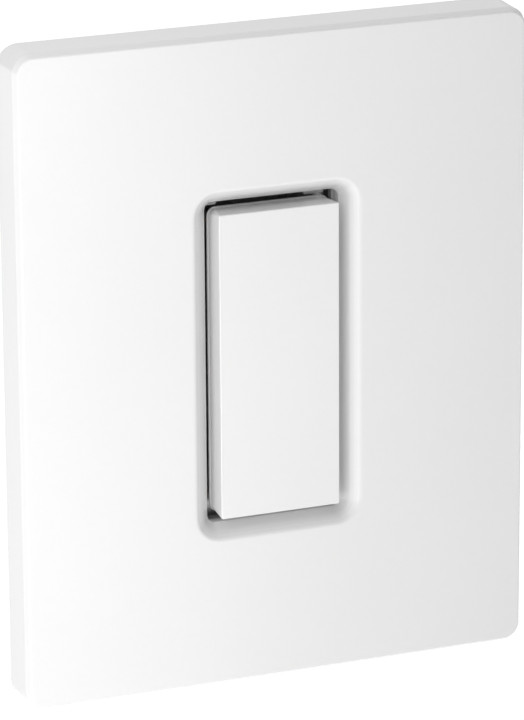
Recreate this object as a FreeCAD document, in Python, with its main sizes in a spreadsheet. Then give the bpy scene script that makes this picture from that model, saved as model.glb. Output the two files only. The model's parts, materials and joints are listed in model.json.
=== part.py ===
"""Wall switch with one tall, centre-return rocker in a dished cover plate.

Frame: +Z up, +X to the right, the front faces -Y.  The origin is the centre of the wall plane.
A "height" below is a distance in front of the wall plane (-Y); it is negative inside the wall box.
All lengths are millimetres and all angles degrees.
"""
import FreeCAD, Part
import math
import os
import re

import Sketcher

SIZES = {
    # cover plate: a shallow tray with a narrow sloping edge band
    "plate_wide": 116.0, "plate_tall": 144.0, "plate_deep": 10.5, "plate_corner": 4.3,
    "plate_flare": 0.35, "band_inset": 0.75, "band_deep": 1.6, "skin": 2.2, "wall": 2.2,
    # dished recess and the opening at its bottom
    "dish_wide": 38.2, "dish_tall": 77.6, "dish_corner": 5.75, "dish_deep": 3.5, "dish_soft": 1.2,
    "opening_wide": 30.6, "opening_tall": 71.4, "opening_corner": 1.75,
    "collar_thick": 2.0, "collar_border": 1.6,
    # beads that snap behind the sub-plate's tabs
    "bead_wide": 14.0, "bead_up": 42.0, "bead_across": 30.0, "bead_proud": 0.8,
    "bead_low": 0.2, "bead_high": 1.1, "snap_gap": 0.3,
    # sub-plate
    "sub_inset": 5.0, "sub_thick": 1.8, "sub_corner": 3.0, "sub_rib": 1.4, "sub_rib_rise": 2.6,
    "rib_inset": 2.0, "rib_corner": 1.5, "screw_clear": 0.2,
    "screw_pitch": 96.8, "screw_shank": 1.7, "screw_head": 3.0, "screw_seat": 0.7, "slot_half": 0.45,
    "slot_deep": 0.8, "head_room": 4.2,
    # inner frame behind the opening, with its locating tabs
    "frame_border": 7.0, "frame_corner": 4.0, "frame_side_gap": 0.9,
    "frame_end_gap": 2.2, "tab_gap": 0.45, "tab_left_low": -15.6, "tab_left_high": -11.8,
    "tab_right_low": 8.3, "tab_right_high": 12.7,
    # rocker
    "rocker_wide": 27.4, "rocker_tall": 67.5, "rocker_proud": 1.0, "rocker_deep": 7.0,
    "rocker_front_corner": 0.35, "rocker_back_corner": 1.8, "rocker_wall": 1.5, "rocker_face": 2.0,
    "rim_proud": 0.25, "rim_thick": 0.6, "fit_gap": 0.1,
    "carrier_thick": 2.0, "hub_radius": 2.2, "hub_half": 9.3, "web_thick": 1.5, "web_half": 4.0,
    "spine_half": 0.8, "spine_deep": 2.5, "pivot_height": 2.6, "pin_radius": 1.2, "pin_clear": 0.06,
    "pin_half": 11.4, "ear_inner": 9.6, "ear_half": 3.0,
    # plungers
    "arm": 24.0, "post_radius": 2.6, "post_end": 2.9, "nose_gap": 0.05, "stem_radius": 2.0,
    "stem_clear": 0.06, "flange_radius": 3.4, "flange_top": -4.0, "flange_thick": 1.5,
    "tail_radius": 1.8, "tail_long": 2.3,
    # mounting strap
    "strap_wide": 34.0, "strap_tall": 105.0, "strap_back": 0.1, "strap_thick": 1.1, "strap_corner": 2.5,
    "strap_end_wide": 45.0, "strap_end_tall": 8.5, "ear_hole": 1.4, "window_wide": 24.0, "window_tall": 56.0,
    "window_corner": 3.0, "box_pitch": 83.3, "box_slot_wide": 8.0, "box_slot_tall": 4.0,
    "tab_across": -8.0, "tab_half": 5.0, "tab_drop": 2.3, "tab_deep": 9.0,
    # box screws and their retaining washers
    "box_head": 3.4, "box_head_thick": 1.6, "box_neck": 1.6, "box_stud": 1.75, "box_neck_end": -1.5,
    "box_stud_end": -20.0, "washer_half": 4.5, "washer_thick": 0.8, "washer_clear": 0.05,
    # rubber stops
    "stop_half": 5.0, "stop_low": 29.6, "stop_high": 31.2, "stop_height": 5.2,
    # switch body
    "body_wide": 34.0, "body_tall": 66.0, "body_corner": 2.0, "body_wall": 1.6, "cover_thick": 2.0,
    "body_end": -27.0, "body_edge": 0.8, "panel_wide": 20.0, "panel_tall": 44.0, "panel_deep": 0.5,
    "guide_radius": 3.6, "guide_rise": 0.8,
    "rivet_across": 14.0, "rivet_up": 30.2, "rivet_radius": 1.2, "rivet_head": 2.2, "rivet_rise": 1.0,
    "corner_across": 11.8, "corner_up": 28.0, "seat_radius": 3.4, "seat_top": -17.0, "seat_nose": 1.9,
    "seat_nose_rise": 2.0,
    # contacts and terminals
    "bridge_half": 8.0, "bridge_width": 2.0, "bridge_thick": 0.8, "contact_across": 6.5,
    "moving_contact": 1.4, "contact_thick": 0.8, "fixed_contact": 1.75, "fixed_contact_top": -8.9,
    "strip_half": 2.0, "strip_thick": 1.0, "strip_reach": 3.0, "leg_half": 4.0, "leg_up": 22.0,
    "lug_thick": 1.2, "lug_half": 5.0, "lug_end": -22.0, "terminal_screw_height": -16.0,
    "terminal_shank": 1.9, "terminal_head": 3.8, "terminal_head_thick": 2.2, "terminal_tip": 13.5,
    "clamp_half": 4.0, "clamp_thick": 1.0, "slot_clear": 0.1,
    # return springs
    "spring_radius": 2.45, "spring_wire": 0.3, "spring_turns": 6.0,
}

ENDS = {"upper": 1, "lower": -1}


def bound(expression):
    """The expression with each size's name turned into its cell in the sheet."""
    return re.sub(r"[a-z_]+", lambda word: f"sizes.{word.group()}" if word.group() in SIZES
                  else word.group(), expression)


def make_sheet(doc):
    sheet = doc.addObject("Spreadsheet::Sheet", "sizes")
    for row, (alias, size) in enumerate(SIZES.items(), start=1):
        sheet.set(f"A{row}", alias)
        sheet.set(f"B{row}", str(size))
        sheet.setAlias(f"B{row}", alias)
    doc.recompute()


# ---- sketches and PartDesign features --------------------------------------------------------

def new_body(name):
    body = doc.addObject("PartDesign::Body", name)
    body.Label = name
    return body


def wall_sketch(body, height):
    """An empty sketch parallel to the wall; its x is +X, its y is +Z, its normal points to the front."""
    plane = next(item for item in body.Origin.OriginFeatures if item.Role == "XZ_Plane")
    sketch = body.newObject("Sketcher::SketchObject", f"{body.Name}_sketch")
    sketch.AttachmentSupport = [(plane, "")]
    sketch.MapMode = "FlatFace"
    sketch.setExpression("AttachmentOffset.Base.z", bound(height))
    return sketch


def hold(sketch, *constraint, size=None):
    """Add one constraint, and bind its value to SIZE if that is given."""
    index = sketch.addConstraint(Sketcher.Constraint(*constraint))
    if size is not None:
        sketch.setExpression(f"Constraints[{index}]", bound(size))


def rectangle(sketch, left, right, bottom, top, corner=None):
    """A rectangle between four bound sides, with round corners if CORNER is given."""
    start = 1.0 if corner else 0.0
    half_x, half_z = 10.0, 20.0
    corners = [(half_x, -half_z), (half_x, half_z), (-half_x, half_z), (-half_x, -half_z)]
    along = [(1, 0), (0, 1), (-1, 0), (0, -1)]
    first = sketch.GeometryCount
    for index in range(4):
        x0, z0 = corners[index - 1]
        x1, z1 = corners[index]
        dx, dz = along[index]
        sketch.addGeometry(Part.LineSegment(
            FreeCAD.Vector(x0 + start * dx, z0 + start * dz, 0),
            FreeCAD.Vector(x1 - start * dx, z1 - start * dz, 0)), False)
    sides = range(first, first + 4)
    if corner:
        for index in range(4):
            x1, z1 = corners[index]
            centre = FreeCAD.Vector(x1 - math.copysign(start, x1), z1 - math.copysign(start, z1), 0)
            circle = Part.Circle(centre, FreeCAD.Vector(0, 0, 1), start)
            from_angle = math.radians(90 * index - 90)
            sketch.addGeometry(Part.ArcOfCircle(circle, from_angle, from_angle + math.pi / 2), False)
        for index in range(4):
            arc = first + 4 + index
            hold(sketch, "Tangent", sides[index], 2, arc, 1)
            hold(sketch, "Tangent", arc, 2, sides[(index + 1) % 4], 1)
            if index:
                hold(sketch, "Equal", arc - 1, arc)
        hold(sketch, "Radius", first + 4, start, size=corner)
    else:
        for index in range(4):
            hold(sketch, "Coincident", sides[index], 2, sides[(index + 1) % 4], 1)
    for index in range(4):
        hold(sketch, "Vertical" if index % 2 else "Horizontal", sides[index])
    hold(sketch, "DistanceX", -1, 1, sides[3], 1, -half_x, size=left)
    hold(sketch, "DistanceX", -1, 1, sides[1], 1, half_x, size=right)
    hold(sketch, "DistanceY", -1, 1, sides[0], 1, -half_z, size=bottom)
    hold(sketch, "DistanceY", -1, 1, sides[2], 1, half_z, size=top)


def centred(sketch, wide, tall, corner=None):
    """A rectangle centred on the sketch's origin."""
    rectangle(sketch, f"-({wide}) / 2", f"({wide}) / 2", f"-({tall}) / 2", f"({tall}) / 2", corner)


def disc(sketch, across, up, radius):
    start = 1.0
    index = sketch.addGeometry(
        Part.Circle(FreeCAD.Vector(5, 5, 0), FreeCAD.Vector(0, 0, 1), start), False)
    hold(sketch, "Radius", index, start, size=radius)
    hold(sketch, "DistanceX", -1, 1, index, 3, 5.0, size=across)
    hold(sketch, "DistanceY", -1, 1, index, 3, 5.0, size=up)


def feature(body, kind, sketch, **settings):
    """Add one sketch-based feature, and check that it really adds or removes material."""
    before = body.Shape.Volume if body.Tip else 0.0
    made = body.newObject(f"PartDesign::{kind}", f"{body.Name}_{kind}")
    made.Profile = sketch
    for name, setting in settings.items():
        if isinstance(setting, str) and name == "Length":
            made.setExpression("Length", bound(setting))
        else:
            setattr(made, name, setting)
    doc.recompute()
    change = body.Shape.Volume - before
    removes = kind in ("Pocket", "SubtractiveLoft")
    assert (change < -0.01) if removes else (change > 0.01), f"{made.Name} changes {change:.3f} mm3"
    return made


def pad(body, sketch, length):
    """Raise the sketch's outline towards the front."""
    return feature(body, "Pad", sketch, Length=length)


def pocket(body, sketch, length, to_front=True):
    return feature(body, "Pocket", sketch, Length=length, Reversed=to_front)


def soften(body, height, within, radius):
    """Round the edges that lie at one height, no further than WITHIN from the middle across."""
    base = body.Tip
    names = []
    for number, edge in enumerate(base.Shape.Edges, start=1):
        box = edge.BoundBox
        level = abs(box.YMin + height) < 1e-4 and box.YLength < 1e-4
        if level and max(abs(box.XMin), abs(box.XMax)) < within:
            names.append(f"Edge{number}")
    fillet = body.newObject("PartDesign::Fillet", f"{body.Name}_soft_edge")
    fillet.Base = (base, names)
    fillet.setExpression("Radius", bound(radius))
    doc.recompute()


# ---- Part primitives, bound in the same way ---------------------------------------------------

def block(name, across, up, height):
    """A box between bound limits, each given as (low, high)."""
    made = doc.addObject("Part::Box", name)
    for size, (low, high) in (("Length", across), ("Height", up), ("Width", height)):
        made.setExpression(size, bound(f"({high}) - ({low})"))
    made.setExpression("Placement.Base.x", bound(across[0]))
    made.setExpression("Placement.Base.y", bound(f"-({height[1]})"))
    made.setExpression("Placement.Base.z", bound(up[0]))
    return made


def rod(name, axis, place, span, radius):
    """A cylinder along X, Z or the height, at PLACE in the other two of (across, up, height)."""
    made = doc.addObject("Part::Cylinder", name)
    made.setExpression("Radius", bound(radius))
    made.setExpression("Height", bound(f"({span[1]}) - ({span[0]})"))
    turns = {"across": ((0, 1, 0), 90), "up": ((0, 0, 1), 0), "height": ((1, 0, 0), 90)}
    direction, angle = turns[axis]
    made.Placement.Rotation = FreeCAD.Rotation(FreeCAD.Vector(*direction), angle)
    spots = dict(place)
    spots[axis] = span[0]
    made.setExpression("Placement.Base.x", bound(spots["across"]))
    made.setExpression("Placement.Base.y", bound(f"-({spots['height']})"))
    made.setExpression("Placement.Base.z", bound(spots["up"]))
    return made


def post(name, across, up, span, radius):
    """A cylinder square to the wall."""
    return rod(name, "height", {"across": across, "up": up}, span, radius)


def sided(side, low, high):
    """A pair of limits on the positive side, or their mirror image."""
    return (low, high) if side > 0 else (f"-({high})", f"-({low})")


def joined(name, pieces):
    made = doc.addObject("Part::MultiFuse", name)
    made.Shapes = pieces
    made.Label = name
    return made


def cut(name, base, tools):
    made = doc.addObject("Part::Cut", name)
    made.Base = base
    made.Tool = tools[0] if len(tools) == 1 else joined(f"{name}_tools", tools)
    made.Label = name
    return made


def group(name, pieces):
    """Identical separate solids that share one node."""
    made = doc.addObject("Part::Compound", name)
    made.Links = pieces
    made.Label = name
    return made


# ---- cover plate, sub-plate and inner frame --------------------------------------------------

HOLLOW_WIDE = "plate_wide - 2 * wall"
HOLLOW_TALL = "plate_tall - 2 * wall"
COLLAR_BACK = "plate_deep - dish_deep - collar_thick"
STRAP_FRONT = "strap_back + strap_thick"
SUB_FRONT = f"{STRAP_FRONT} + sub_thick"


def bead_spots():
    """Where the beads and their matching tabs sit: (side, sign, offset along that side)."""
    for sign in (1, -1):
        for offset in (1, -1):
            yield "side", sign, offset
            yield "end", sign, offset


def edge_strip(sketch, spot, inner, outer):
    """A rectangle on the hollow's edge, from INNER inside it to OUTER beyond it."""
    side, sign, offset = spot
    size, along = (HOLLOW_WIDE, "bead_up") if side == "side" else (HOLLOW_TALL, "bead_across")
    low, high = f"({size}) / 2 - ({inner})", f"({size}) / 2 + ({outer})"
    reach = (low, high) if sign > 0 else (f"-({high})", f"-({low})")
    run = (f"{offset} * {along} - bead_wide / 2", f"{offset} * {along} + bead_wide / 2")
    rectangle(sketch, *(reach + run if side == "side" else run + reach))


def make_cover_plate():
    body = new_body("cover_plate")
    wall_outline = wall_sketch(body, "0")
    centred(wall_outline, "plate_wide + 2 * plate_flare", "plate_tall + 2 * plate_flare",
            "plate_corner + plate_flare")
    band_outline = wall_sketch(body, "plate_deep - band_deep")
    centred(band_outline, "plate_wide", "plate_tall", "plate_corner")
    face_outline = wall_sketch(body, "plate_deep")
    centred(face_outline, "plate_wide - 2 * band_inset", "plate_tall - 2 * band_inset",
            "plate_corner - band_inset")
    feature(body, "AdditiveLoft", wall_outline, Sections=[band_outline, face_outline], Ruled=True)

    hollow = wall_sketch(body, "0")
    centred(hollow, HOLLOW_WIDE, HOLLOW_TALL, "plate_corner - wall")
    pocket(body, hollow, COLLAR_BACK)
    upper_hollow = wall_sketch(body, COLLAR_BACK)
    centred(upper_hollow, HOLLOW_WIDE, HOLLOW_TALL, "plate_corner - wall")
    centred(upper_hollow, "dish_wide + 2 * collar_border", "dish_tall + 2 * collar_border",
            "dish_corner")
    pocket(body, upper_hollow, f"plate_deep - skin - ({COLLAR_BACK})")

    mouth = wall_sketch(body, "plate_deep")
    centred(mouth, "dish_wide", "dish_tall", "dish_corner")
    throat = wall_sketch(body, "plate_deep - dish_deep")
    centred(throat, "opening_wide", "opening_tall", "opening_corner")
    feature(body, "SubtractiveLoft", mouth, Sections=[throat], Ruled=True)
    opening = wall_sketch(body, "plate_deep - dish_deep")
    centred(opening, "opening_wide", "opening_tall", "opening_corner")
    pocket(body, opening, "2 * collar_thick", to_front=False)
    soften(body, SIZES["plate_deep"], SIZES["dish_wide"] / 2 + 1, "dish_soft")

    beads = wall_sketch(body, "bead_low")
    for spot in bead_spots():
        edge_strip(beads, spot, "bead_proud", "wall / 2")
    pad(body, beads, "bead_high - bead_low")
    return body


def make_sub_plate():
    body = new_body("sub_plate")
    outline = wall_sketch(body, STRAP_FRONT)
    centred(outline, f"{HOLLOW_WIDE} - 2 * sub_inset", f"{HOLLOW_TALL} - 2 * sub_inset", "sub_corner")
    centred(outline, "opening_wide", "opening_tall", "opening_corner")
    for sign in ENDS.values():
        disc(outline, "0", f"{sign} * box_pitch / 2", "head_room")
        disc(outline, "0", f"{sign} * screw_pitch / 2", "screw_shank + screw_clear")
    pad(body, outline, "sub_thick")

    tabs = wall_sketch(body, STRAP_FRONT)
    for spot in bead_spots():
        edge_strip(tabs, spot, "sub_inset + 1", "-snap_gap")
    pad(body, tabs, "sub_thick")

    rib = wall_sketch(body, SUB_FRONT)
    for inset in ("sub_inset + rib_inset", "sub_inset + rib_inset + sub_rib"):
        centred(rib, f"{HOLLOW_WIDE} - 2 * ({inset})", f"{HOLLOW_TALL} - 2 * ({inset})", "rib_corner")
    pad(body, rib, "sub_rib_rise")

    seats = wall_sketch(body, f"{STRAP_FRONT} + screw_seat")
    for sign in ENDS.values():
        disc(seats, "0", f"{sign} * screw_pitch / 2", "screw_head + screw_clear")
    pocket(body, seats, "sub_thick")
    return body


def make_inner_frame():
    body = new_body("inner_frame")
    outline = wall_sketch(body, SUB_FRONT)
    centred(outline, "opening_wide + 2 * frame_border", "opening_tall + 2 * frame_border", "frame_corner")
    centred(outline, "rocker_wide + 2 * frame_side_gap", "rocker_tall + 2 * frame_end_gap",
            "opening_corner / 2")
    pad(body, outline, f"{COLLAR_BACK} - ({SUB_FRONT})")

    tabs = wall_sketch(body, SUB_FRONT)
    near, far = "rocker_tall / 2 + rim_proud + tab_gap", "rocker_tall / 2 + frame_end_gap + 1"
    rectangle(tabs, "tab_left_low", "tab_left_high", near, far)
    rectangle(tabs, "tab_right_low", "tab_right_high", near, far)
    rectangle(tabs, "tab_right_low", "tab_right_high", f"-({far})", f"-({near})")
    pad(body, tabs, f"{COLLAR_BACK} - ({SUB_FRONT})")
    return body


def slotted_screw(name, axis, place, head_span, shank_span, head, shank, slot_sign=1):
    """A screw of a head and a shank, with a straight driver slot across the head."""
    spots = dict(place)
    head_rod = rod(f"{name}_head", axis, spots, head_span, head)
    shank_rod = rod(f"{name}_shank", axis, spots, shank_span, shank)
    outer = head_span[1] if slot_sign > 0 else head_span[0]
    limits = {key: (f"({value}) - head_room", f"({value}) + head_room") for key, value in spots.items()}
    slot_along = "up" if axis == "across" else "across"
    narrow = next(key for key in spots if key not in (axis, slot_along))
    limits[narrow] = (f"({spots[narrow]}) - slot_half", f"({spots[narrow]}) + slot_half")
    depth = (f"({outer}) - slot_deep", f"({outer}) + 1") if slot_sign > 0 else \
        (f"({outer}) - 1", f"({outer}) + slot_deep")
    limits[axis] = depth
    slot = block(f"{name}_slot", limits["across"], limits["up"], limits["height"])
    return cut(name, joined(f"{name}_blank", [head_rod, shank_rod]), [slot])


def make_sub_plate_screws():
    screws = []
    for end, sign in ENDS.items():
        place = {"across": "0", "up": f"{sign} * screw_pitch / 2"}
        seat = f"{STRAP_FRONT} + screw_seat"
        screws.append(slotted_screw(f"{end}_sub_plate_screw", "height", place, (seat, SUB_FRONT),
                                    ("strap_back", seat), "screw_head", "screw_shank"))
    return group("sub_plate_screws", screws)


# ---- mounting strap and what fastens it --------------------------------------------------------

def make_mounting_strap():
    body = new_body("mounting_strap_blank")
    outline = wall_sketch(body, "strap_back")
    centred(outline, "strap_wide", "strap_tall", "strap_corner")
    centred(outline, "window_wide", "window_tall", "window_corner")
    for sign in ENDS.values():
        middle = f"{sign} * box_pitch / 2"
        rectangle(outline, "-box_slot_wide / 2", "box_slot_wide / 2", f"{middle} - box_slot_tall / 2",
                  f"{middle} + box_slot_tall / 2", "box_slot_tall / 2 - 0.05")
        disc(outline, "0", f"{sign} * screw_pitch / 2", "screw_shank")
        for side in (1, -1):
            disc(outline, f"{side} * rivet_across", f"{sign} * rivet_up", "rivet_radius")
    pad(body, outline, "strap_thick")

    ears = wall_sketch(body, "strap_back")
    outer, inner = "strap_tall / 2", "strap_tall / 2 - strap_end_tall"
    for side in (1, -1):
        reach = sided(side, "strap_wide / 2 - 1", "strap_end_wide / 2")
        rectangle(ears, *reach, f"{inner}", f"{outer} - strap_corner")
        rectangle(ears, *reach, f"-({outer} - strap_corner)", f"-({inner})")
        for sign in ENDS.values():
            disc(ears, f"{side} * (strap_wide + strap_end_wide) / 4",
                 f"{sign} * (strap_tall - strap_end_tall - strap_corner) / 2", "ear_hole")
    pad(body, ears, "strap_thick")

    tab = wall_sketch(body, "-tab_deep")
    tab_low, tab_high = "-(body_tall / 2 + tab_drop + strap_thick)", "-(body_tall / 2 + tab_drop)"
    rectangle(tab, "tab_across - tab_half", "tab_across + tab_half", tab_low, tab_high)
    pad(body, tab, "tab_deep + strap_back + strap_thick / 2")
    hole = rod("ground_hole", "up", {"across": "tab_across", "height": "-tab_deep / 2 - 0.5"},
               (f"{tab_low} - 1", f"{tab_high} + 1"), "screw_shank")
    return cut("mounting_strap", body, [hole])


def make_ground_screw():
    tab_low = "-(body_tall / 2 + tab_drop + strap_thick)"
    place = {"across": "tab_across", "height": "-tab_deep / 2 - 0.5"}
    return slotted_screw("ground_screw", "up", place, (f"{tab_low} - terminal_head_thick", tab_low),
                         (tab_low, "-body_tall / 2 - 0.6"), "box_head", "screw_shank", slot_sign=-1)


def make_box_screws():
    screws = []
    for end, sign in ENDS.items():
        place = {"across": "0", "up": f"{sign} * box_pitch / 2"}
        top = slotted_screw(f"{end}_box_screw_top", "height", place,
                            (STRAP_FRONT, f"{STRAP_FRONT} + box_head_thick"),
                            ("box_neck_end", STRAP_FRONT), "box_head", "box_neck")
        stud = post(f"{end}_box_stud", place["across"], place["up"], ("box_stud_end", "box_neck_end"),
                    "box_stud")
        screws.append(joined(f"{end}_box_screw", [top, stud]))
    return group("box_screws", screws)


def make_screw_retainers():
    washers = []
    for end, sign in ENDS.items():
        middle = f"{sign} * box_pitch / 2"
        square = block(f"{end}_washer_square", ("-washer_half", "washer_half"),
                       (f"{middle} - washer_half", f"{middle} + washer_half"),
                       ("strap_back - washer_thick", "strap_back"))
        hole = post(f"{end}_washer_hole", "0", middle, ("-washer_thick - 1", "1"),
                    "box_neck + washer_clear")
        washers.append(cut(f"{end}_screw_retainer", square, [hole]))
    return group("screw_retainers", washers)


def make_stop_bumpers():
    stops = [block(f"{end}_stop", ("-stop_half", "stop_half"), span, (STRAP_FRONT, "stop_height"))
             for end, span in (("upper", ("stop_low", "stop_high")), ("lower", ("-stop_high", "-stop_low")))]
    return group("stop_bumpers", stops)


# ---- switch body -------------------------------------------------------------------------------

COVER_BACK = "-cover_thick"
FLOOR = "body_end + body_wall"
STRIP_TOP = "fixed_contact_top - contact_thick"
STRIP_BACK = f"{STRIP_TOP} - strip_thick"


def rivet_spots():
    for end, sign in ENDS.items():
        for side in (1, -1):
            yield f"{end}_{'right' if side > 0 else 'left'}", f"{side} * rivet_across", f"{sign} * rivet_up"


def make_switch_cover():
    body = new_body("switch_cover_plate")
    outline = wall_sketch(body, COVER_BACK)
    centred(outline, "body_wide", "body_tall", "body_corner")
    for _, across, up in rivet_spots():
        disc(outline, across, up, "rivet_radius")
    pad(body, outline, "cover_thick + strap_back")
    pieces = [body]
    for side, (low, high) in (("right", ("ear_inner", "pin_half")), ("left", ("-pin_half", "-ear_inner"))):
        pieces.append(block(f"{side}_ear", (low, high), ("-ear_half", "ear_half"), ("-0.5", "pivot_height")))
        pieces.append(rod(f"{side}_ear_round", "across", {"up": "0", "height": "pivot_height"},
                          (low, high), "ear_half"))
    tools = [rod("ear_bore", "across", {"up": "0", "height": "pivot_height"},
                 ("-pin_half - 1", "pin_half + 1"), "pin_radius")]
    for end, sign in ENDS.items():
        up = f"{sign} * arm"
        pieces.append(post(f"{end}_guide", "0", up, ("-0.5", "guide_rise"), "guide_radius"))
        tools.append(post(f"{end}_guide_bore", "0", up, (f"{COVER_BACK} - 1", "guide_rise + 1"),
                          "stem_radius + stem_clear"))
    return cut("switch_cover", joined("switch_cover_blank", pieces), tools)


def make_switch_base():
    body = new_body("switch_base_shell")
    outline = wall_sketch(body, "body_end")
    centred(outline, "body_wide", "body_tall", "body_corner")
    pad(body, outline, f"{COVER_BACK} - body_end")
    soften(body, SIZES["body_end"], SIZES["body_wide"], "body_edge")
    panel = wall_sketch(body, "body_end")
    centred(panel, "panel_wide", "panel_tall", "body_corner")
    pocket(body, panel, "panel_deep")
    inside = wall_sketch(body, FLOOR)
    centred(inside, "body_wide - 2 * body_wall", "body_tall - 2 * body_wall")
    pocket(body, inside, f"{COVER_BACK} - ({FLOOR}) + 1")

    pieces, tools = [body], []
    for name, across, up in rivet_spots():
        reach = sided(1 if "right" in name else -1, "corner_across", "body_wide / 2 - 1")
        rise = sided(1 if "upper" in name else -1, "corner_up", "body_tall / 2 - 1")
        pieces.append(block(f"{name}_corner", reach, rise, ("body_end + 1", COVER_BACK)))
        tools.append(post(f"{name}_rivet_hole", across, up, ("body_end - 1", "0"), "rivet_radius"))
    for end, sign in ENDS.items():
        up = f"{sign} * arm"
        pieces.append(post(f"{end}_seat", "0", up, ("body_end + 1", "seat_top"), "seat_radius"))
        pieces.append(post(f"{end}_seat_nose", "0", up, ("seat_top - 1", "seat_top + seat_nose_rise"),
                           "seat_nose"))
        for side in (1, -1):
            middle = f"{side} * contact_across"
            pieces.append(block(f"{end}_strip_rest_{'right' if side > 0 else 'left'}",
                                (f"{middle} - strip_half", f"{middle} + strip_half"),
                                (f"{up} - strip_half", f"{up} + strip_half"),
                                ("body_end + 1", STRIP_BACK)))
    for name, side, up in terminal_spots():
        wall_span = sided(side, "body_wide / 2 - 2 * body_wall", "body_wide / 2 + 1")
        tools.append(block(f"{name}_leg_slot", wall_span,
                           (f"{up} - leg_half - slot_clear", f"{up} + leg_half + slot_clear"),
                           (f"{STRIP_BACK} - slot_clear", f"{STRIP_TOP} + slot_clear")))
        tools.append(rod(f"{name}_screw_hole", "across", {"up": up, "height": "terminal_screw_height"},
                         wall_span, "terminal_shank + slot_clear"))
    return cut("switch_base", joined("switch_base_blank", pieces), tools)


def make_body_rivets():
    rivets = []
    for name, across, up in rivet_spots():
        shank = post(f"{name}_rivet_shank", across, up, ("body_end - rivet_rise / 2", STRAP_FRONT),
                     "rivet_radius")
        head = post(f"{name}_rivet_head", across, up, ("body_end - rivet_rise", "body_end"), "rivet_head")
        rivets.append(joined(f"{name}_rivet", [shank, head]))
    return group("body_rivets", rivets)


def make_hinge_pin():
    pin = rod("hinge_pin", "across", {"up": "0", "height": "pivot_height"}, ("-pin_half", "pin_half"),
              "pin_radius")
    pin.Label = "hinge_pin"
    return pin


# ---- terminals and contacts --------------------------------------------------------------------

def terminal_spots():
    """Each terminal's name, the side of the body that its screw is on, and its screw's place up."""
    return [("common", -1, "0"), ("upper", 1, "leg_up"), ("lower", 1, "-leg_up")]


def make_terminal(name, side, up, strip_up):
    """A flat strip under the fixed contacts, a leg out through the wall, and a lug down its outside."""
    inner, outer = "contact_across - strip_half", "contact_across + strip_half"
    strip = block(f"{name}_strip", sided(side, inner, outer), strip_up, (STRIP_BACK, STRIP_TOP))
    leg = block(f"{name}_leg", sided(side, f"{outer} - 1", "body_wide / 2 + lug_thick"),
                (f"{up} - leg_half", f"{up} + leg_half"), (STRIP_BACK, STRIP_TOP))
    lug = block(f"{name}_lug", sided(side, "body_wide / 2", "body_wide / 2 + lug_thick"),
                (f"{up} - lug_half", f"{up} + lug_half"), ("lug_end", STRIP_TOP))
    hole = rod(f"{name}_lug_hole", "across", {"up": up, "height": "terminal_screw_height"},
               sided(side, "body_wide / 2 - 1", "body_wide / 2 + lug_thick + 1"), "terminal_shank")
    return cut(f"{name}_terminal", joined(f"{name}_terminal_blank", [strip, leg, lug]), [hole])


def make_terminals():
    reach = "arm + strip_reach"
    strips = {"common": (f"-({reach})", reach), "upper": ("leg_up - leg_half", reach),
              "lower": (f"-({reach})", "-(leg_up - leg_half)")}
    return [make_terminal(name, side, up, strips[name]) for name, side, up in terminal_spots()]


def make_terminal_screws():
    screws = []
    head_low = "body_wide / 2 + lug_thick + clamp_thick"
    for name, side, up in terminal_spots():
        place = {"up": up, "height": "terminal_screw_height"}
        head = sided(side, head_low, f"{head_low} + terminal_head_thick")
        screws.append(slotted_screw(f"{name}_terminal_screw", "across", place, head,
                                    sided(side, "terminal_tip", head_low), "terminal_head",
                                    "terminal_shank", slot_sign=side))
    return group("terminal_screws", screws)


def make_clamp_plates():
    plates = []
    low = "body_wide / 2 + lug_thick"
    for name, side, up in terminal_spots():
        middle = "terminal_screw_height"
        plate = block(f"{name}_clamp_blank", sided(side, low, f"{low} + clamp_thick"),
                      (f"{up} - clamp_half", f"{up} + clamp_half"),
                      (f"{middle} - clamp_half", f"{middle} + clamp_half"))
        hole = rod(f"{name}_clamp_hole", "across", {"up": up, "height": middle},
                   sided(side, f"{low} - 1", f"{low} + clamp_thick + 1"), "terminal_shank")
        plates.append(cut(f"{name}_clamp_plate", plate, [hole]))
    return group("clamp_plates", plates)


def make_fixed_contacts():
    contacts = [post(f"{end}_fixed_contact_{'right' if side > 0 else 'left'}", f"{side} * contact_across",
                     f"{sign} * arm", (STRIP_TOP, "fixed_contact_top"), "fixed_contact")
                for end, sign in ENDS.items() for side in (1, -1)]
    return group("fixed_contacts", contacts)


# ---- rocker ------------------------------------------------------------------------------------

ROCKER_BACK = "plate_deep + rocker_proud - rocker_deep"
ROCKER_UNDERSIDE = "plate_deep + rocker_proud - rocker_face"
CARRIER_BACK = f"{ROCKER_UNDERSIDE} - carrier_thick"
ROCKER_INSIDE_WIDE = "rocker_wide - 2 * rocker_wall"
ROCKER_INSIDE_TALL = "rocker_tall - 2 * rocker_wall"


def make_rocker_cap():
    """A crisp flat front on a skirt whose corners grow rounder towards the back."""
    body = new_body("rocker_cap")
    back = wall_sketch(body, ROCKER_BACK)
    centred(back, "rocker_wide", "rocker_tall", "rocker_back_corner")
    front = wall_sketch(body, "plate_deep + rocker_proud")
    centred(front, "rocker_wide", "rocker_tall", "rocker_front_corner")
    feature(body, "AdditiveLoft", back, Sections=[front], Ruled=True)
    rim = wall_sketch(body, ROCKER_BACK)
    centred(rim, "rocker_wide + 2 * rim_proud", "rocker_tall + 2 * rim_proud",
            "rocker_back_corner + rim_proud")
    pad(body, rim, "rim_thick")
    inside = wall_sketch(body, ROCKER_BACK)
    centred(inside, ROCKER_INSIDE_WIDE, ROCKER_INSIDE_TALL, "rocker_back_corner / 2")
    pocket(body, inside, f"{ROCKER_UNDERSIDE} - ({ROCKER_BACK})")
    return body


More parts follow.
